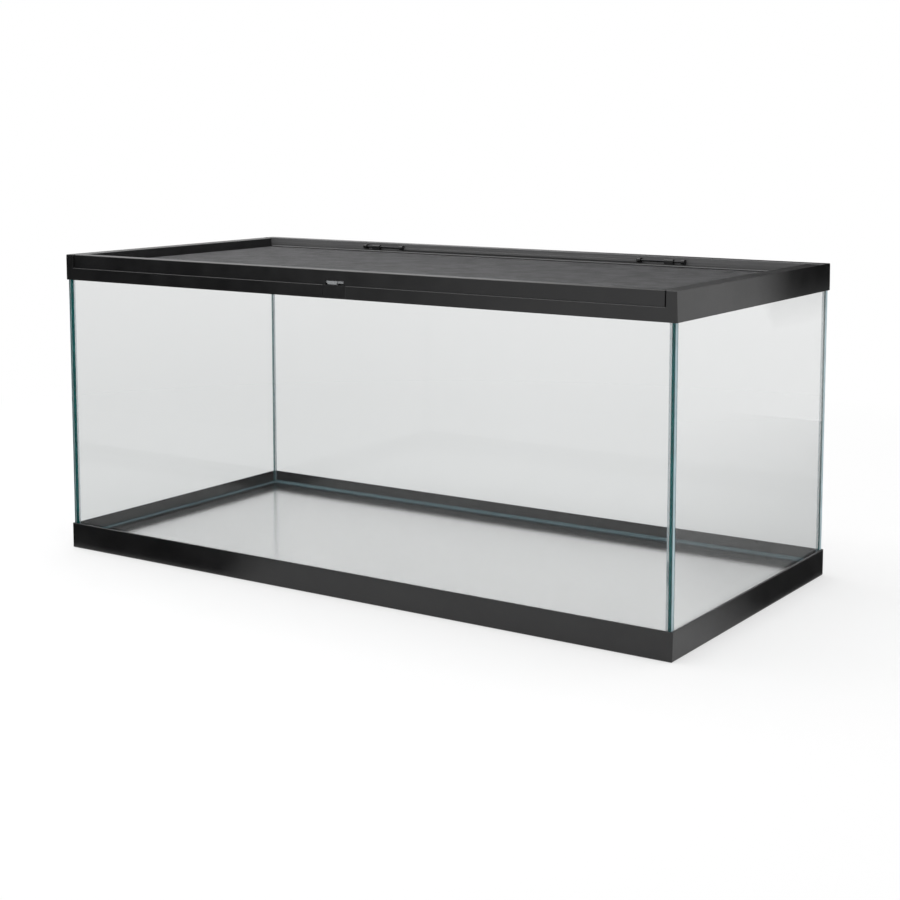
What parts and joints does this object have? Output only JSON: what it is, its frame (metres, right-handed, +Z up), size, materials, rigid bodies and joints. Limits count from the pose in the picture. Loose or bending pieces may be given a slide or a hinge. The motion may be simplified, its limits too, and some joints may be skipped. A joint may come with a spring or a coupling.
{
  "type": "reptile terrarium",
  "caption": "Rectangular glass terrarium with moulded top and base trims, silicone seams and a hinged screen lid held shut by a sliding lock.",
  "frame": {"origin": "middle of the footprint, on the plane it stands on", "axes": "+X along the length, -Y to the front where the lock is, +Z up"},
  "size_m": [0.914, 0.436, 0.404],
  "materials": {
    "trim_plastic": "satin moulded black",
    "lid_plastic": "satin moulded black",
    "keeper_plastic": "satin moulded black",
    "clamp_plastic": "matte black",
    "lock_plastic": "satin grey",
    "pane": "clear float glass",
    "silicone": "translucent",
    "screen_metal": "dark coated wire cloth",
    "pin_steel": "blackened"
  },
  "bodies": {
    "tank": {"base_trim": "trim_plastic", "top_trim": "trim_plastic", "front_glass": "pane", "rear_glass": "pane", "left_glass": "pane", "right_glass": "pane", "floor_glass": "pane", "latch_keeper": "keeper_plastic", "hinge_pin_left": "pin_steel", "hinge_pin_right": "pin_steel", "seam_front_left": "silicone", "seam_front_right": "silicone", "seam_rear_left": "silicone", "seam_rear_right": "silicone", "seam_floor_front": "silicone", "seam_floor_rear": "silicone", "seam_floor_left": "silicone", "seam_floor_right": "silicone"},
    "lid": {"lid_frame": "lid_plastic", "lid_screen": "screen_metal", "screen_clamp_front": "clamp_plastic", "screen_clamp_rear": "clamp_plastic", "screen_clamp_left": "clamp_plastic", "screen_clamp_right": "clamp_plastic"},
    "lock": {"lock_slider": "lock_plastic"}
  },
  "joints": [
    {"name": "lid_hinge", "type": "hinge", "parent": "tank", "child": "lid", "pos_m": [0, 0.1975, 0.3978], "axis": [-1, 0, 0], "range_deg": [0, 105]},
    {"name": "lock_slide", "type": "slide", "parent": "lid", "child": "lock", "axis": [1, 0, 0], "range_m": [0, 0.0095]}
  ]
}
